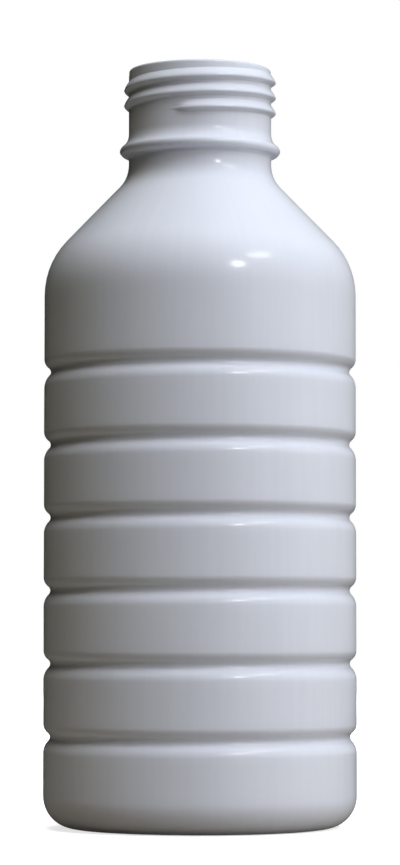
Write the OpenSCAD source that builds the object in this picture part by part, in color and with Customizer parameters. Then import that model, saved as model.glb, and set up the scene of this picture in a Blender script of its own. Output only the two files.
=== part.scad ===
// Round one-litre bottle with ribbed sides and a wide screw neck, shown without its cap.
// It is blow moulded in one piece, so every wall follows one outline turned about the axis.
// Millimetres. The bottle stands on z = 0 with its axis on Z, and its front faces -Y.

/* [Body] */
// Outside diameter of the body
body_d = 90; // [84:0.5:110]
// Height from the standing ring to the rim of the mouth
total_h = 219; // [205:1:260]
// Thickness of the blown wall
wall = 1.3; // [0.8:0.1:1.8]
// Rounding between the side and the base
heel_r = 9; // [6:0.5:14]

/* [Base] */
// Width of the flat ring that the bottle stands on
ring_w = 4; // [2:0.5:8]
// Rounding between the standing ring and the hollow of the base
ring_edge_r = 3; // [2.5:0.5:6]
// Rise of the hollow base at its centre
push_up_h = 4; // [2:0.5:7]

/* [Grooves] */
// Number of grooves round the body
groove_count = 6; // [2:1:8]
// Depth of a groove
groove_depth = 1.9; // [1:0.1:2.6]
// Radius of the hollow at the bottom of a groove
groove_floor_r = 1.6; // [1.5:0.1:4]
// Radius of the tighter lip above a groove
groove_upper_r = 3.2; // [3:0.2:8]
// Radius of the softer lip below a groove
groove_lower_r = 4.8; // [3:0.2:8]
// Plain wall between the heel and the lowest groove
lower_band_h = 12.3; // [6:0.1:20]
// Plain wall between the highest groove and the shoulder
upper_band_h = 18.5; // [10:0.1:30]

/* [Shoulder] */
// Slope of the shoulder cone, in degrees below level
shoulder_slope = 46; // [30:1:50]
// Rounding between the body and the shoulder cone
shoulder_r = 22; // [8:0.5:24]
// Fillet between the shoulder cone and the neck
neck_root_r = 10; // [5:0.5:14]

/* [Neck] */
// Outside diameter of the neck wall
neck_d = 41.2; // [40:0.1:46]
// Height from the root of the neck to the rim
neck_h = 27.5; // [24:0.5:34]
// Diameter of the bore
bore_d = 36.8; // [34:0.1:38]
// Height over which the inside narrows from the blown wall to the bore
bore_lead_h = 5; // [2:0.5:10]
// Rounding of the rim's two edges
rim_r = 0.6; // [0.3:0.1:0.8]

/* [Bead] */
// How far the bead stands out from the neck wall
bead_rise = 2.6; // [1:0.1:2.8]
// Height of the bead's crest above the root of the neck
bead_z = 3.8; // [3.4:0.1:6]
// Rounding of the bead's crest
bead_crest_r = 1.5; // [1.3:0.1:2]
// Hollow that runs from the neck wall out to the top of the bead
bead_upper_r = 4.8; // [1.5:0.1:5.5]
// Tight hollow under the bead
bead_lower_r = 1.3; // [1.1:0.1:2]

/* [Thread] */
// How far the thread stands out from the neck wall
thread_depth = 1.4; // [0.8:0.1:1.6]
// Rise of the thread in one turn
thread_pitch = 4.5; // [4.2:0.05:5]
// Number of turns of the right-hand thread
thread_turns = 2.35; // [1:0.05:2.5]
// Width of the thread at its root
thread_w = 3.7; // [2.4:0.1:3.8]
// Share of the thread's width that lies above its crest
thread_lean = 0.7; // [0.4:0.05:0.7]
// Distance from the rim down to the middle of the thread's upper end
thread_top_gap = 3.5; // [2.5:0.1:4]
// Direction in which the thread's lower end lies, in degrees from +X
thread_start = 251; // [0:1:359]
// Length of the rounded run-out at each end of the thread, in degrees
thread_end = 16; // [10:1:40]

/* [Hidden] */

body_r = body_d / 2;
neck_r = neck_d / 2;
bore_r = bore_d / 2;
neck_z = total_h - neck_h;

// The shoulder cone is tangent to the rounding below it and to the fillet above it
shoulder_turn = 90 - shoulder_slope;
shoulder_run = body_r - shoulder_r - neck_r - neck_root_r
             + (shoulder_r + neck_root_r) * cos(shoulder_turn);
shoulder_z = neck_z - (shoulder_r + neck_root_r) * sin(shoulder_turn)
           - shoulder_run * tan(shoulder_slope);

// Grooves are spread evenly between the two plain bands
groove_below = ripple_reach(groove_depth, groove_floor_r, groove_lower_r);
groove_above = ripple_reach(groove_depth, groove_floor_r, groove_upper_r);
groove_first_z = heel_r + lower_band_h + groove_below;
groove_last_z = shoulder_z - upper_band_h - groove_above;
groove_pitch = (groove_last_z - groove_first_z) / (groove_count - 1);

// The hollow of the base is a shallow dome, tangent to the inner edge of the standing ring
ring_inner = body_r - heel_r - ring_w;
dome_r = (pow(ring_inner, 2) - 2 * ring_edge_r * push_up_h + pow(push_up_h, 2)) / (2 * push_up_h);
dome_angle = atan2(ring_inner, dome_r + ring_edge_r - push_up_h);

// Largest turn between two points of an arc, and the shortest side that an outline keeps
arc_step = 11;
least_side = 0.001;
// How far the foot of the thread is sunk into the neck wall
thread_sink = 0.4;
// Points across the thread, rings in one turn, and rings in each run-out
thread_across = 8;
thread_rings = 40;
end_rings = 4;
$fn = 128;

// Points of an arc about centre c, from angle a to angle b
function arc(c, r, a, b) =
    let (n = max(1, ceil(abs(b - a) / arc_step)))
    [for (i = [0:n]) let (t = a + (b - a) * i / n) c + r * [cos(t), sin(t)]];

// An outline without the points at which one arc hands over to the next
function joined(points) =
    [for (i = [0:len(points) - 1])
        if (i == 0 || norm(points[i] - points[i - 1]) > least_side) points[i]];

function reversed(points) = [for (i = [len(points) - 1:-1:0]) points[i]];

// Turn of each arc of a ripple, and the height from its middle to the end of its foot
function ripple_turn(rise, tip_r, foot_r) = acos(1 - abs(rise) / (tip_r + foot_r));
function ripple_reach(rise, tip_r, foot_r) =
    (tip_r + foot_r) * sin(ripple_turn(rise, tip_r, foot_r));

// A bead (rise above 0) or a groove (rise below 0) on a wall of radius r at height z:
// a foot, a tip and a second foot, each an arc tangent to the next.
// inset moves the whole line inwards, from the outer face to the inner one.
function ripple(r, z, rise, tip_r, below_r, above_r, inset = 0) =
    let (
        side = sign(rise),
        foot = 90 + 90 * side,
        tip = foot + 180,
        below = ripple_turn(rise, tip_r, below_r),
        above = ripple_turn(rise, tip_r, above_r)
    )
    concat(
        arc([r + side * below_r, z - ripple_reach(rise, tip_r, below_r)],
            below_r + side * inset, foot, foot - side * below),
        arc([r + rise - side * tip_r, z],
            tip_r - side * inset, tip - side * below, tip + side * above),
        arc([r + side * above_r, z + ripple_reach(rise, tip_r, above_r)],
            above_r + side * inset, foot + side * above, foot)
    );

// Line of the blown wall from the centre of the base up to the root of the neck
function skin(inset = 0) = concat(
    arc([0, push_up_h - dome_r], dome_r + inset, 90, 90 - dome_angle),
    arc([ring_inner, ring_edge_r], ring_edge_r - inset, 270 - dome_angle, 270),
    arc([body_r - heel_r, heel_r], heel_r - inset, 270, 360),
    [for (i = [0:groove_count - 1])
        each ripple(body_r, groove_first_z + i * groove_pitch, -groove_depth,
                    groove_floor_r, groove_lower_r, groove_upper_r, inset)],
    arc([body_r - shoulder_r, shoulder_z], shoulder_r - inset, 0, shoulder_turn),
    arc([neck_r + neck_root_r, neck_z], neck_root_r + inset, 180 + shoulder_turn, 180)
);

// Line of the neck from its root over the rim and down the bore
function neck_line() = concat(
    ripple(neck_r, neck_z + bead_z, bead_rise, bead_crest_r, bead_lower_r, bead_upper_r),
    arc([neck_r - rim_r, total_h - rim_r], rim_r, 0, 90),
    arc([bore_r + rim_r, total_h - rim_r], rim_r, 90, 180),
    [[bore_r, neck_z + bore_lead_h]]
);

// Shell of the bottle, turned from the section of its wall
module shell() {
    rotate_extrude()
        polygon(joined(concat(skin(), neck_line(), reversed(skin(wall)))));
}

// Screw thread: one rounded ridge wound up the neck, with a rounded run-out at each end
module thread() {
    whole = 360 * thread_turns;
    foot_z = total_h - thread_top_gap - thread_pitch * thread_turns;
    middle = ceil(thread_rings * (whole - 2 * thread_end) / 360);
    places = concat(
        [for (i = [0:end_rings - 1]) thread_end * i / end_rings],
        [for (i = [0:middle]) thread_end + (whole - 2 * thread_end) * i / middle],
        [for (i = [1:end_rings]) whole - thread_end + thread_end * i / end_rings]
    );
    // Share of the full ridge at a place: a quarter circle over each run-out
    function share(a) =
        let (t = min(a, whole - a, thread_end) / thread_end)
        max(0.08, sqrt(1 - pow(1 - t, 2)));
    // Ridge across the thread: a half oval whose foot is sunk into the wall,
    // with its steeper flank below, where a cap pulls
    function ridge(s) =
        [for (k = [0:thread_across])
            let (t = 180 * k / thread_across - 90, lean = t > 0 ? thread_lean : 1 - thread_lean)
            [(thread_depth + thread_sink) * s * cos(t) - thread_sink,
             thread_w * lean * s * sin(t)]];
    side = thread_across + 1;
    rings = len(places);
    points = [for (a = places) each
        [for (p = ridge(share(a)))
            let (r = neck_r + p[0], turn = thread_start + a)
            [r * cos(turn), r * sin(turn), foot_z + thread_pitch * a / 360 + p[1]]]];
    faces = concat(
        [[for (k = [side - 1:-1:0]) k]],
        [for (i = [0:rings - 2]) each
            [for (k = [0:side - 1])
                let (p = i * side + k, q = i * side + (k + 1) % side)
                each [[p, q, p + side], [q, q + side, p + side]]]],
        [[for (k = [0:side - 1]) (rings - 1) * side + k]]
    );
    polyhedron(points = points, faces = faces);
}

module bottle() {
    color("whitesmoke") union() {
        shell();
        thread();
    }
}

bottle();
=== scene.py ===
import math

import bpy
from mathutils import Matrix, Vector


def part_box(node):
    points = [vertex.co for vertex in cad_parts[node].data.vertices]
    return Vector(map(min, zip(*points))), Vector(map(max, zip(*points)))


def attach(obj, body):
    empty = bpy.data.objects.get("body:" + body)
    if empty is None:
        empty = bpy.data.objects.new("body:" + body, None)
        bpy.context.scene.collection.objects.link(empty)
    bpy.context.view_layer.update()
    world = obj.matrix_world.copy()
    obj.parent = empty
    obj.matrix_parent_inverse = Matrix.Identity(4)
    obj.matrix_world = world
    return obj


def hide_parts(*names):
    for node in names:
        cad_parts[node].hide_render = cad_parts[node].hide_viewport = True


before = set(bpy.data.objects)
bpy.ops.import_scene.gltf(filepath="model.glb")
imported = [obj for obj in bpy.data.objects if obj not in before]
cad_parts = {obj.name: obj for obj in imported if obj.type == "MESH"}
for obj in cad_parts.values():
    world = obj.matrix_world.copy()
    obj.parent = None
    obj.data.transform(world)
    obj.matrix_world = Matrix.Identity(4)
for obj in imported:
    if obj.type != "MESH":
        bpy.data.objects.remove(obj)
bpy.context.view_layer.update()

# The bottle
# The only piece: white high-density polyethylene, blow moulded in one shot, open at the top.
# Its wall is one outline turned about the axis, so a Geometry Nodes tree turns the outline,
# winds the screw thread round the neck and raises the marks that the mould leaves.

MM = 0.001
bottle_low, bottle_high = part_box("bottle")

body_r = (bottle_high[0] - bottle_low[0]) / 2
rim_z = bottle_high[2]
blown_wall = 1.3 * MM

heel_r = 9 * MM
ring_w = 4 * MM
ring_edge_r = 3 * MM
push_up = 4 * MM

groove_count = 6
groove_depth = 1.9 * MM
groove_floor_r = 1.6 * MM
groove_upper_r = 3.2 * MM
groove_lower_r = 4.8 * MM
lower_band = 12.3 * MM
upper_band = 18.5 * MM

shoulder_slope = 46
shoulder_r = 22 * MM
neck_root_r = 10 * MM

neck_r = 20.6 * MM
neck_z = rim_z - 27.5 * MM
bore_r = 18.4 * MM
bore_lead = 5 * MM
rim_edge_r = 0.6 * MM

bead_rise = 2.6 * MM
bead_z = neck_z + 3.8 * MM
bead_crest_r = 1.5 * MM
bead_upper_r = 4.8 * MM
bead_lower_r = 1.3 * MM

thread_depth = 1.4 * MM
thread_pitch = 4.5 * MM
thread_turns = 2.35
thread_w = 3.7 * MM
thread_lean = 0.7
thread_foot = rim_z - 3.5 * MM - thread_turns * thread_pitch
thread_start = math.radians(251)
thread_run_out = math.radians(16)
thread_spread = 1.2

# Each pair is where a mark of the mould starts to show and where it is full
seam_above_ring = (1 * MM, 4 * MM)
seam_below_rim = (rim_z - 1 * MM, rim_z - 2 * MM)
seam_outside_bore = (neck_r - 2 * MM, neck_r - 1 * MM)
pinch_below = (10 * MM, 8 * MM)
pinch_taper = 0.9
sway_above_ring = (2 * MM, 12 * MM)
sway_below_neck = (neck_z, neck_z - 12 * MM)


def arc(centre, radius, start, end, step):
    """Points of an arc in the plane of radius and height, its angles in degrees."""
    count = max(1, math.ceil(abs(end - start) / step))
    turns = [math.radians(start + (end - start) * i / count) for i in range(count + 1)]
    return [(centre[0] + radius * math.cos(t), centre[1] + radius * math.sin(t)) for t in turns]


def line(start, end, longest):
    """Points of a straight stretch, none further apart than longest."""
    count = max(1, math.ceil(math.dist(start, end) / longest))
    return [tuple(a + (b - a) * i / count for a, b in zip(start, end)) for i in range(count + 1)]


def ripple(radius, height, rise, tip_r, below_r, above_r, inset, step):
    """A bead, or a groove where rise is below 0: foot, tip and foot, each arc tangent to the next."""
    side = math.copysign(1, rise)
    foot = 90 + 90 * side
    tip = foot + 180
    below = math.degrees(math.acos(1 - abs(rise) / (tip_r + below_r)))
    above = math.degrees(math.acos(1 - abs(rise) / (tip_r + above_r)))
    low = height - (tip_r + below_r) * math.sin(math.radians(below))
    high = height + (tip_r + above_r) * math.sin(math.radians(above))
    return (
        arc((radius + side * below_r, low), below_r + side * inset, foot, foot - side * below, step)
        + arc((radius + rise - side * tip_r, height), tip_r - side * inset,
              tip - side * below, tip + side * above, step)
        + arc((radius + side * above_r, high), above_r + side * inset, foot + side * above, foot, step)
    )


def ripple_reach(rise, tip_r, foot_r):
    """Height from the middle of a ripple to the end of its foot."""
    return (tip_r + foot_r) * math.sin(math.acos(1 - abs(rise) / (tip_r + foot_r)))


shoulder_turn = 90 - shoulder_slope
shoulder_run = (body_r - shoulder_r - neck_r - neck_root_r
                + (shoulder_r + neck_root_r) * math.cos(math.radians(shoulder_turn)))
shoulder_z = (neck_z - (shoulder_r + neck_root_r) * math.sin(math.radians(shoulder_turn))
              - shoulder_run * math.tan(math.radians(shoulder_slope)))

groove_first = heel_r + lower_band + ripple_reach(groove_depth, groove_floor_r, groove_lower_r)
groove_last = shoulder_z - upper_band - ripple_reach(groove_depth, groove_floor_r, groove_upper_r)
groove_heights = [groove_first + (groove_last - groove_first) * i / (groove_count - 1)
                  for i in range(groove_count)]

ring_inner = body_r - heel_r - ring_w
dome_r = (ring_inner ** 2 - 2 * ring_edge_r * push_up + push_up ** 2) / (2 * push_up)
dome_turn = math.degrees(math.atan2(ring_inner, dome_r + ring_edge_r - push_up))


def skin(inset, step, longest):
    """Line of the blown wall from the centre of the base up to the root of the neck."""
    dome_step = math.degrees(longest / dome_r) / 2
    points = arc((0, push_up - dome_r), dome_r + inset, 90, 90 - dome_turn, dome_step)
    points += arc((ring_inner, ring_edge_r), ring_edge_r - inset, 270 - dome_turn, 270, step)
    points += arc((body_r - heel_r, heel_r), heel_r - inset, 270, 360, step)
    for height in groove_heights:
        groove = ripple(body_r, height, -groove_depth, groove_floor_r, groove_lower_r,
                        groove_upper_r, inset, step)
        points += line(points[-1], groove[0], longest) + groove
    shoulder = arc((body_r - shoulder_r, shoulder_z), shoulder_r - inset, 0, shoulder_turn, step)
    root = arc((neck_r + neck_root_r, neck_z), neck_root_r + inset, 180 + shoulder_turn, 180, step)
    points += line(points[-1], shoulder[0], longest) + shoulder
    return points + line(points[-1], root[0], longest) + root


outside_step = 6.5
outside_longest = 3 * MM
inside_step = 14
inside_longest = 8 * MM
bead_step = 9
rim_step = 15
thread_row = 0.16 * MM

bead = ripple(neck_r, bead_z, bead_rise, bead_crest_r, bead_lower_r, bead_upper_r, 0, bead_step)
rim_outer = arc((neck_r - rim_edge_r, rim_z - rim_edge_r), rim_edge_r, 0, 90, rim_step)
rim_inner = arc((bore_r + rim_edge_r, rim_z - rim_edge_r), rim_edge_r, 90, 180, rim_step)
outside_line = skin(0, outside_step, outside_longest) + bead
outside_line += line(bead[-1], rim_outer[0], thread_row) + rim_outer + rim_inner
bore_foot = (bore_r, neck_z + bore_lead)
inside_skin = skin(blown_wall, inside_step, inside_longest)[::-1]
inside_line = line(rim_inner[-1], bore_foot, outside_longest)
inside_line += line(bore_foot, inside_skin[0], outside_longest) + inside_skin

# Neighbouring stretches share their end points, which are kept once
least_side = 0.002 * MM
outline = []
outside_flags = []
for stretch, flag in ((outside_line, 1.0), (inside_line, 0.0)):
    for point in stretch:
        if not outline or math.dist(point, outline[-1]) > least_side:
            outline.append(point)
            outside_flags.append(flag)

outline_mesh = bpy.data.meshes.new("bottle_outline")
outline_mesh.from_pydata([(r, 0, z) for r, z in outline],
                         [(i, i + 1) for i in range(len(outline) - 1)], [])
outline_mesh.attributes.new("outside", "FLOAT", "POINT").data.foreach_set("value", outside_flags)


def add_node(tree, kind, values=None, **settings):
    """Adds a node, sets its properties, and links or fills the inputs that values names."""
    node = tree.nodes.new(kind)
    for name, value in settings.items():
        setattr(node, name, value)
    for name, value in (values or {}).items():
        if isinstance(value, bpy.types.NodeSocket):
            tree.links.new(value, node.inputs[name])
        else:
            node.inputs[name].default_value = value
    return node


def maths(tree, operation, *terms):
    """Result of one sum on numbers or sockets."""
    return add_node(tree, "ShaderNodeMath", dict(enumerate(terms)), operation=operation).outputs[0]


def smooth_range(tree, value, low, high, low_result=0.0, high_result=1.0):
    """Value eased from one result to the other between low and high."""
    names = {"Value": value, "From Min": low, "From Max": high,
             "To Min": low_result, "To Max": high_result}
    return add_node(tree, "ShaderNodeMapRange", names, interpolation_type="SMOOTHSTEP").outputs[0]


def add_inputs(tree, sizes):
    """Named inputs of a tree, one for each size, with their identifiers."""
    kinds = {float: "NodeSocketFloat", int: "NodeSocketInt", bpy.types.Material: "NodeSocketMaterial"}
    identifiers = {}
    for name, value in sizes.items():
        socket = tree.interface.new_socket(name, in_out="INPUT", socket_type=kinds[type(value)])
        identifiers[name] = socket.identifier
    return identifiers


def build_wall_tree(sizes):
    """Tree that turns an outline into the bottle's wall and raises its thread and mould marks."""
    tree = bpy.data.node_groups.new("turned bottle wall", "GeometryNodeTree")
    tree.interface.new_socket("Geometry", in_out="INPUT", socket_type="NodeSocketGeometry")
    identifiers = add_inputs(tree, sizes)
    tree.interface.new_socket("Geometry", in_out="OUTPUT", socket_type="NodeSocketGeometry")
    given = tree.nodes.new("NodeGroupInput").outputs

    # A flat grid has one column for each direction and one row for each point of the outline
    rows = add_node(tree, "GeometryNodeAttributeDomainSize",
                    {"Geometry": given["Geometry"]}).outputs["Point Count"]
    grid = add_node(tree, "GeometryNodeMeshGrid", {
        "Size X": 1.0, "Size Y": 1.0, "Vertices Y": rows,
        "Vertices X": maths(tree, "ADD", given["Columns"], 1.0)})
    place = tree.nodes.new("GeometryNodeInputPosition").outputs[0]
    flat = add_node(tree, "ShaderNodeSeparateXYZ", {"Vector": place}).outputs
    whole_turn = maths(tree, "MULTIPLY", maths(tree, "ADD", flat["X"], 0.5), math.tau)
    crowd = maths(tree, "MULTIPLY", maths(tree, "SINE", maths(tree, "MULTIPLY", whole_turn, 2.0)),
                  maths(tree, "MULTIPLY", given["Seam crowding"], 0.5))
    turn = maths(tree, "SUBTRACT", whole_turn, crowd)
    row = maths(tree, "ROUND", maths(tree, "MULTIPLY", maths(tree, "ADD", flat["Y"], 0.5),
                                     maths(tree, "SUBTRACT", rows, 1.0)))
    traced = add_node(tree, "GeometryNodeSampleIndex", {
        "Geometry": given["Geometry"], "Value": place, "Index": row}, data_type="FLOAT_VECTOR")
    traced = add_node(tree, "ShaderNodeSeparateXYZ", {"Vector": traced.outputs["Value"]}).outputs
    flag = add_node(tree, "GeometryNodeInputNamedAttribute", {"Name": "outside"}, data_type="FLOAT")
    flag = add_node(tree, "GeometryNodeSampleIndex", {
        "Geometry": given["Geometry"], "Value": flag.outputs["Attribute"], "Index": row},
        data_type="FLOAT").outputs["Value"]
    turned = add_node(tree, "ShaderNodeCombineXYZ", {
        "X": maths(tree, "MULTIPLY", traced["X"], maths(tree, "COSINE", turn)),
        "Y": maths(tree, "MULTIPLY", traced["X"], maths(tree, "SINE", turn)),
        "Z": traced["Z"]})
    kept = add_node(tree, "GeometryNodeStoreNamedAttribute", {
        "Geometry": grid.outputs["Mesh"], "Name": "outside", "Value": flag},
        data_type="FLOAT", domain="POINT")
    shell = add_node(tree, "GeometryNodeSetPosition", {
        "Geometry": kept.outputs["Geometry"], "Position": turned.outputs["Vector"]})
    closed = add_node(tree, "GeometryNodeMergeByDistance", {
        "Geometry": shell.outputs["Geometry"], "Distance": given["Merge distance"]})

    # Where a point of the turned wall lies
    x, y, z = add_node(tree, "ShaderNodeSeparateXYZ", {"Vector": place}).outputs
    outside = add_node(tree, "GeometryNodeInputNamedAttribute", {"Name": "outside"},
                       data_type="FLOAT").outputs["Attribute"]
    radius = maths(tree, "SQRT", maths(tree, "ADD", maths(tree, "MULTIPLY", x, x),
                                       maths(tree, "MULTIPLY", y, y)))

    # The thread: its nearest turn, how far the point lies from the crest of that turn, the
    # steeper flank below it, and the share of the full ridge left in the run-out at either end
    pitch = given["Thread pitch"]
    past_start = maths(tree, "FLOORED_MODULO",
                       maths(tree, "SUBTRACT", maths(tree, "ARCTAN2", y, x), given["Thread start"]),
                       math.tau)
    past_start = maths(tree, "DIVIDE", past_start, math.tau)
    risen = maths(tree, "DIVIDE", maths(tree, "SUBTRACT", z, given["Thread foot"]), pitch)
    nearest = maths(tree, "ROUND", maths(tree, "SUBTRACT", risen, past_start))
    wound = maths(tree, "ADD", past_start, nearest)
    off_crest = maths(tree, "MULTIPLY", pitch, maths(tree, "SUBTRACT", risen, wound))
    left_over = maths(tree, "MINIMUM", wound, maths(tree, "SUBTRACT", given["Thread turns"], wound))
    run_out = maths(tree, "DIVIDE", given["Thread run-out"], math.tau)
    short = maths(tree, "SUBTRACT", 1.0, maths(tree, "MINIMUM", 1.0,
                                               maths(tree, "DIVIDE", left_over, run_out)))
    share = maths(tree, "SQRT", maths(tree, "MAXIMUM", 0.0, maths(
        tree, "SUBTRACT", 1.0, maths(tree, "MULTIPLY", short, short))))
    lean = add_node(tree, "ShaderNodeMix", {
        "Factor": maths(tree, "GREATER_THAN", off_crest, 0.0),
        "A": maths(tree, "SUBTRACT", 1.0, given["Thread lean"]),
        "B": given["Thread lean"]}, data_type="FLOAT").outputs[0]
    flank = maths(tree, "MAXIMUM", 1e-6, maths(
        tree, "MULTIPLY", share, maths(tree, "MULTIPLY", given["Thread width"], lean)))
    across = maths(tree, "DIVIDE", maths(tree, "ABSOLUTE", off_crest), flank)
    ridge = smooth_range(tree, across, thread_spread, given["Thread crown"])
    thread = maths(tree, "MULTIPLY", ridge, maths(tree, "MULTIPLY", share, given["Thread depth"]))

    # The parting line up both sides, away from the rim and from the standing ring
    off_seam = maths(tree, "ABSOLUTE", y)
    seam = smooth_range(tree, off_seam, given["Seam width"], 0.0, 0.0, given["Seam rise"])
    seam = maths(tree, "MULTIPLY", seam, smooth_range(tree, z, *seam_above_ring))
    seam = maths(tree, "MULTIPLY", seam, smooth_range(tree, z, *seam_below_rim))
    seam = maths(tree, "MULTIPLY", seam, smooth_range(tree, radius, *seam_outside_bore))

    # The pinch-off across the hollow base, where the mould nipped the soft tube shut
    pinch = smooth_range(tree, off_seam, given["Pinch width"], 0.0, 0.0, given["Pinch rise"])
    pinch = maths(tree, "MULTIPLY", pinch, smooth_range(
        tree, radius, given["Pinch reach"],
        maths(tree, "MULTIPLY", given["Pinch reach"], pinch_taper)))
    pinch = maths(tree, "MULTIPLY", pinch, smooth_range(tree, z, *pinch_below))

    # The blown wall is never quite true
    sway = add_node(tree, "ShaderNodeTexNoise", {
        "W": given["Seed"], "Scale": given["Sway scale"], "Detail": 1.0}, noise_dimensions="4D")
    sway = maths(tree, "MULTIPLY", maths(tree, "SUBTRACT", sway.outputs["Fac"], 0.5),
                 given["Sway"])
    sway = maths(tree, "MULTIPLY", sway, smooth_range(tree, z, *sway_above_ring))
    sway = maths(tree, "MULTIPLY", sway, smooth_range(tree, z, *sway_below_neck))

    height = maths(tree, "ADD", maths(tree, "ADD", thread, seam), maths(tree, "ADD", pinch, sway))
    height = maths(tree, "MULTIPLY", height, outside)
    normal = tree.nodes.new("GeometryNodeInputNormal").outputs[0]
    offset = add_node(tree, "ShaderNodeVectorMath", {0: normal, "Scale": height}, operation="SCALE")
    raised = add_node(tree, "GeometryNodeSetPosition", {
        "Geometry": closed.outputs["Geometry"], "Offset": offset.outputs["Vector"]})
    smooth = add_node(tree, "GeometryNodeSetShadeSmooth", {"Geometry": raised.outputs["Geometry"]})
    real = add_node(tree, "GeometryNodeRealizeInstances", {"Geometry": smooth.outputs["Geometry"]})
    coated = add_node(tree, "GeometryNodeSetMaterial", {
        "Geometry": real.outputs["Geometry"], "Material": given["Material"]})
    add_node(tree, "NodeGroupOutput", {"Geometry": coated.outputs["Geometry"]})
    return tree, identifiers


def noise(tree, place, scale, detail, roughness=0.5):
    """Random pattern over a place, between 0 and 1 and mostly near 0.5."""
    values = {"Vector": place, "Scale": scale, "Detail": detail, "Roughness": roughness}
    return add_node(tree, "ShaderNodeTexNoise", values).outputs["Fac"]


def mixed_colour(tree, share, low, high):
    """Colour between two colours, by a share from 0 to 1."""
    # A Mix node has sockets for each kind of value: 6, 7 and the output 2 are those for colours
    values = {"Factor": share, 6: low, 7: high}
    return add_node(tree, "ShaderNodeMix", values, data_type="RGBA").outputs[2]


def build_polyethylene():
    """Cool-white polyethylene with the marks of its mould, its die and its use."""
    material = bpy.data.materials.new("white_polyethylene")
    material.use_nodes = True
    tree = material.node_tree
    place = add_node(tree, "ShaderNodeTexCoord").outputs["Object"]
    x, y, z = add_node(tree, "ShaderNodeSeparateXYZ", {"Vector": place}).outputs
    radius = maths(tree, "SQRT", maths(tree, "ADD", maths(tree, "MULTIPLY", x, x),
                                       maths(tree, "MULTIPLY", y, y)))
    around = {"X": maths(tree, "DIVIDE", x, radius), "Y": maths(tree, "DIVIDE", y, radius)}
    outside = add_node(tree, "ShaderNodeAttribute", attribute_name="outside").outputs["Fac"]

    # The blasted steel of the mould leaves a fine grain, and the blown wall is a little uneven
    grain = noise(tree, place, grain_scale, 2.0)
    peel = noise(tree, place, peel_scale, 1.0)

    # Faint lines run up the wall, because the soft tube was drawn down through a worn die
    drawn = add_node(tree, "ShaderNodeCombineXYZ", {
        **around, "Z": maths(tree, "MULTIPLY", z, die_stretch)})
    die_lines = noise(tree, drawn.outputs["Vector"], die_scale, 3.0)

    # Dull patches, where the widest rings rub on other bottles in the carton
    proud = smooth_range(tree, radius, *widest_rings)
    rub = smooth_range(tree, noise(tree, place, patch_scale, 3.0), *patch_range)
    rub = maths(tree, "MULTIPLY", rub, proud)

    # The ring that the bottle stands on is scuffed dull all round
    scuff = smooth_range(tree, z, *scuff_height)
    scuff = maths(tree, "MULTIPLY", scuff, smooth_range(tree, radius, *scuff_reach))

    # The wall is a shade deeper where it blew thinner
    thickness = maths(tree, "MULTIPLY", 0.5, maths(tree, "ADD", die_lines, noise(
        tree, place, thickness_scale, 2.0)))
    skin_colour = mixed_colour(tree, smooth_range(tree, thickness, *thickness_range),
                               thin_colour, thick_colour)
    skin_colour = mixed_colour(tree, maths(tree, "MULTIPLY", scuff, scuff_colour_share),
                               skin_colour, scuffed_colour)
    skin_colour = mixed_colour(tree, outside, inner_colour, skin_colour)

    roughness = maths(tree, "ADD", skin_roughness, maths(tree, "MULTIPLY", grain, grain_roughness))
    roughness = maths(tree, "ADD", roughness, maths(tree, "MULTIPLY", rub, rub_roughness))
    roughness = maths(tree, "ADD", roughness, maths(tree, "MULTIPLY", scuff, scuff_roughness))
    roughness = maths(tree, "ADD", roughness, maths(
        tree, "MULTIPLY", maths(tree, "SUBTRACT", 1.0, outside), inner_roughness))

    relief = maths(tree, "MULTIPLY", grain, grain_height)
    relief = maths(tree, "ADD", relief, maths(tree, "MULTIPLY", peel, peel_height))
    relief = maths(tree, "ADD", relief, maths(tree, "MULTIPLY", die_lines, die_height))
    bump = add_node(tree, "ShaderNodeBump", {"Height": relief, "Distance": 1.0, "Strength": 1.0})

    surface = tree.nodes["Principled BSDF"]
    surface.inputs["IOR"].default_value = polyethylene_ior
    surface.inputs["Subsurface Weight"].default_value = milkiness
    surface.inputs["Subsurface Radius"].default_value = (1.0, 1.0, 1.0)
    surface.inputs["Subsurface Scale"].default_value = milky_depth
    tree.links.new(skin_colour, surface.inputs["Base Color"])
    tree.links.new(roughness, surface.inputs["Roughness"])
    tree.links.new(bump.outputs["Normal"], surface.inputs["Normal"])
    return material


thick_colour = (0.785, 0.805, 0.91, 1)
thin_colour = (0.755, 0.775, 0.88, 1)
inner_colour = (0.74, 0.755, 0.80, 1)
scuffed_colour = (0.66, 0.67, 0.70, 1)
skin_roughness = 0.14
grain_roughness = 0.06
rub_roughness = 0.08
scuff_roughness = 0.3
inner_roughness = 0.22
scuff_colour_share = 0.6
polyethylene_ior = 1.54
milkiness = 0.15
milky_depth = 0.8 * MM

# Each pair is where a mark starts to show and where it is full
widest_rings = (body_r - 0.5 * MM, body_r - 0.1 * MM)
scuff_height = (0.8 * MM, 0.1 * MM)
scuff_reach = (ring_inner - 2 * MM, ring_inner)
patch_range = (0.45, 0.68)
thickness_range = (0.3, 0.7)

# Scales are in features per metre, apart from that of the die lines, which is per radius
grain_scale = 1400
grain_height = 0.004 * MM
peel_scale = 240
peel_height = 0.012 * MM
die_scale = 22
die_stretch = 1.5
die_height = 0.004 * MM
patch_scale = 45
thickness_scale = 30

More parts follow.
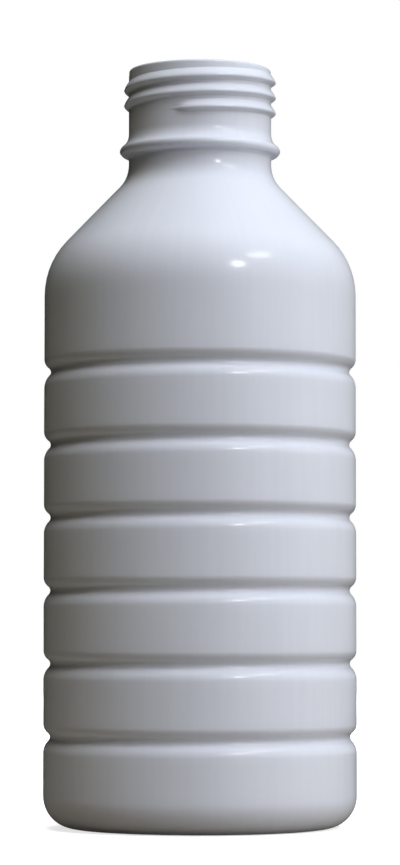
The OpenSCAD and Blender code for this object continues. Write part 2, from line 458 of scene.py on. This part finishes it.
polyethylene = build_polyethylene()
wall_sizes = {
    "Columns": 150,
    "Seam crowding": 0.72,
    "Merge distance": 0.0005 * MM,
    "Thread pitch": thread_pitch,
    "Thread turns": thread_turns,
    "Thread start": thread_start,
    "Thread foot": thread_foot,
    "Thread run-out": thread_run_out,
    "Thread width": thread_w,
    "Thread lean": thread_lean,
    "Thread depth": thread_depth,
    "Thread crown": 0.0,
    "Seam width": 0.55 * MM,
    "Seam rise": 0.1 * MM,
    "Pinch width": 1.1 * MM,
    "Pinch rise": 0.7 * MM,
    "Pinch reach": 27 * MM,
    "Sway": 0.25 * MM,
    "Sway scale": 24.0,
    "Seed": 3.0,
    "Material": polyethylene,
}
wall_tree, wall_inputs = build_wall_tree(wall_sizes)
bottle_shell = bpy.data.objects.new("bottle_shell", outline_mesh)
bpy.context.scene.collection.objects.link(bottle_shell)
turning = bottle_shell.modifiers.new("turned bottle wall", "NODES")
turning.node_group = wall_tree
for name, value in wall_sizes.items():
    turning[wall_inputs[name]] = value
evaluated = bottle_shell.evaluated_get(bpy.context.evaluated_depsgraph_get())
wall_mesh = bpy.data.meshes.new_from_object(evaluated)
bottle_shell.modifiers.clear()
bottle_shell.data = wall_mesh
wall_mesh.name = "bottle_shell"

# The grid brings an empty material slot, which the plain mesh has no use for
for slot in reversed(range(len(wall_mesh.materials))):
    if wall_mesh.materials[slot] is None:
        wall_mesh.materials.pop(index=slot)
print("bottle_shell", len(wall_mesh.vertices), "points", len(wall_mesh.polygons), "faces")

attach(bottle_shell, "root")
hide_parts("bottle")

# The floor and the white surround
# A plain pale floor that the bottle stands on, in a white surround. The camera, and what shines
# or lets light through, see both as white, but the floor keeps the bottle's shadow.


def seen_directly(tree):
    """1 for the rays of the camera, of gloss and of glass, and 0 for the light that spreads."""
    path = tree.nodes.new("ShaderNodeLightPath").outputs
    return maths(tree, "MAXIMUM", path["Is Camera Ray"],
                 maths(tree, "MAXIMUM", path["Is Glossy Ray"], path["Is Transmission Ray"]))


def stage_material(name):
    """An empty material for what the bottle stands on or among."""
    material = bpy.data.materials.new(name)
    material.use_nodes = True
    material.node_tree.nodes.clear()
    return material


floor_size = 16.0
floor_half = floor_size / 2
floor_mesh = bpy.data.meshes.new("floor")
floor_mesh.from_pydata([(-floor_half, -floor_half, 0), (floor_half, -floor_half, 0),
                        (floor_half, floor_half, 0), (-floor_half, floor_half, 0)],
                       [], [(0, 1, 2, 3)])
floor = bpy.data.objects.new("floor", floor_mesh)
bpy.context.scene.collection.objects.link(floor)
floor_material = stage_material("pale_floor")
floor_tree = floor_material.node_tree
floor_place = add_node(floor_tree, "ShaderNodeTexCoord").outputs["Object"]
floor_reach = add_node(floor_tree, "ShaderNodeVectorMath", {0: floor_place}, operation="LENGTH")
floor_glow_near = 0.72
floor_glow_far = 1.0
glow_reach = (0.15, 0.6)
glow = smooth_range(floor_tree, floor_reach.outputs["Value"], *glow_reach,
                    floor_glow_near, floor_glow_far)
under_bottle = (0.31, 0.275, 0.215, 1)
open_floor = (0.16, 0.145, 0.10, 1)
bounce_reach = (0.05, 0.25)
shadow_floor = (0.8, 0.8, 0.8, 1)
bounce_colour = mixed_colour(floor_tree, smooth_range(
    floor_tree, floor_reach.outputs["Value"], *bounce_reach), under_bottle, open_floor)
floor_bounce = add_node(floor_tree, "ShaderNodeBsdfDiffuse", {"Color": bounce_colour})
floor_shade = add_node(floor_tree, "ShaderNodeBsdfDiffuse", {"Color": shadow_floor})
floor_glow = add_node(floor_tree, "ShaderNodeEmission", {"Color": (1, 1, 1, 1), "Strength": glow})
floor_white = add_node(floor_tree, "ShaderNodeAddShader", {
    0: floor_shade.outputs[0], 1: floor_glow.outputs[0]})
floor_mix = add_node(floor_tree, "ShaderNodeMixShader", {
    0: seen_directly(floor_tree), 1: floor_bounce.outputs[0], 2: floor_white.outputs[0]})
add_node(floor_tree, "ShaderNodeOutputMaterial", {"Surface": floor_mix.outputs[0]})
floor_mesh.materials.append(floor_material)

world = bpy.data.worlds.new("white_surround")
bpy.context.scene.world = world
world.use_nodes = True
world_tree = world.node_tree
world_tree.nodes.clear()
ambient_colour = (1.0, 0.98, 0.95, 1)
ambient_level = 0.005
ambient = add_node(world_tree, "ShaderNodeBackground", {
    "Color": ambient_colour, "Strength": ambient_level})
white = add_node(world_tree, "ShaderNodeBackground", {"Color": (1, 1, 1, 1), "Strength": 1.0})
world_mix = add_node(world_tree, "ShaderNodeMixShader", {
    0: seen_directly(world_tree), 1: ambient.outputs[0], 2: white.outputs[0]})
add_node(world_tree, "ShaderNodeOutputWorld", {"Surface": world_mix.outputs[0]})

# The studio walls
# A tent of dim cloth that only gloss sees: black on the left, pale on the right and a little
# paler overhead, so that the bottle's left edge stays as dark as a studio's black flag leaves it.

tent_size = 4.0
tent_rings = 32
tent_sides = 48
cloth_lift = 0.3 * MM
tent_points = []
for i in range(tent_rings + 1):
    level = math.pi * i / tent_rings
    for j in range(tent_sides):
        side = math.tau * j / tent_sides
        tent_points.append((tent_size * math.sin(level) * math.cos(side),
                            tent_size * math.sin(level) * math.sin(side),
                            max(cloth_lift, tent_size * math.cos(level))))
tent_faces = [
    (i * tent_sides + j, (i + 1) * tent_sides + j,
     (i + 1) * tent_sides + (j + 1) % tent_sides, i * tent_sides + (j + 1) % tent_sides)
    for i in range(tent_rings) for j in range(tent_sides)]
tent_mesh = bpy.data.meshes.new("studio_tent")
tent_mesh.from_pydata(tent_points, [], tent_faces)
tent = bpy.data.objects.new("studio_tent", tent_mesh)
bpy.context.scene.collection.objects.link(tent)
tent_material = stage_material("studio_cloth")
tent_tree = tent_material.node_tree
tent_place = add_node(tent_tree, "ShaderNodeTexCoord").outputs["Object"]
tent_at = add_node(tent_tree, "ShaderNodeSeparateXYZ", {"Vector": tent_place}).outputs
tent_side_glow = 0.5
tent_top_glow = 0.16
side_glow_reach = (-1.0, 4.0)
top_glow_reach = (1.6, 3.9)
cloth_colour = (0.97, 0.98, 1.0, 1)
sideways = smooth_range(tent_tree, tent_at["X"], *side_glow_reach, 0.0, tent_side_glow)
upwards = smooth_range(tent_tree, tent_at["Z"], *top_glow_reach, 0.0, tent_top_glow)
cloth = add_node(tent_tree, "ShaderNodeEmission", {
    "Color": cloth_colour, "Strength": maths(tent_tree, "ADD", sideways, upwards)})
add_node(tent_tree, "ShaderNodeOutputMaterial", {"Surface": cloth.outputs[0]})
tent_mesh.materials.append(tent_material)
tent.visible_camera = False
tent.visible_diffuse = False
tent.visible_transmission = False
tent.visible_shadow = False

# The lights
# Large softboxes at the upper right, above and at the right leave the left edge dark, and one
# behind serves the views from there. Two small lamps give the highlights on shoulder and grooves.

middle_z = rim_z / 2
box_reach = 1.7
box_size = (1.1, 1.1)
small_reach = 1.6


def lamp_box(name, turn, rise, reach, size, power, colour=(1, 1, 1), glossy=False):
    """A square or oblong area light that faces the bottle; turn runs from the front to the right."""
    turn, rise = math.radians(turn), math.radians(rise)
    lamp = bpy.data.lights.new(name, "AREA")
    lamp.shape = "RECTANGLE"
    lamp.size, lamp.size_y = size
    lamp.energy = power
    lamp.color = colour
    light = bpy.data.objects.new(name, lamp)
    bpy.context.scene.collection.objects.link(light)
    light.location = (reach * math.sin(turn) * math.cos(rise), -reach * math.cos(turn) * math.cos(rise),
                      middle_z + reach * math.sin(rise))
    light.rotation_euler = (math.pi / 2 - rise, 0, turn)
    light.visible_glossy = glossy
    light.visible_camera = False
    return light


lamp_box("key_softbox", 45, 60, box_reach, box_size, 14.2, (0.77, 0.86, 1.0))
lamp_box("overhead_front", 0, 60, box_reach, box_size, 5.6, (1.0, 0.92, 0.75))
lamp_box("top_softbox", 0, 90, box_reach, box_size, 8.6, (0.97, 1.0, 0.86))
lamp_box("front_fill", 45, 16, box_reach, box_size, 5.6, (0.86, 0.92, 1.0))
lamp_box("side_fill", 90, 4, box_reach, box_size, 11.7, (1.0, 0.98, 0.89))
lamp_box("back_softbox", 180, 24, box_reach, (0.9, 0.9), 17, (0.92, 0.95, 1.0))
lamp_box("small_lamp_left", 30, 30, small_reach, (0.18, 0.16), 2.6, glossy=True)
lamp_box("small_lamp_right", 52, 42, small_reach, (0.45, 0.20), 1.7, glossy=True)

# The camera
# It stands a little under a metre away, a quarter of the way up the bottle, and looks slightly
# upwards, as the photograph's own camera does.

picture_height_px = 865
focal_px = 3186
eye_distance = 0.92
eye_height = 58.0 * MM
eye_row_px = 625
sensor = 36.0
camera_data = bpy.data.cameras.new("camera")
camera_data.sensor_fit = "AUTO"
camera_data.sensor_width = sensor
camera_data.lens = sensor * focal_px / picture_height_px
camera_data.clip_end = 50.0
camera = bpy.data.objects.new("camera", camera_data)
bpy.context.scene.collection.objects.link(camera)
camera.location = (0, -eye_distance, eye_height)
pitch_up = math.atan((eye_row_px - picture_height_px / 2) / focal_px)
camera.rotation_euler = (math.pi / 2 + pitch_up, 0, 0)
bpy.context.scene.camera = camera

bpy.context.scene.view_settings.view_transform = "Standard"
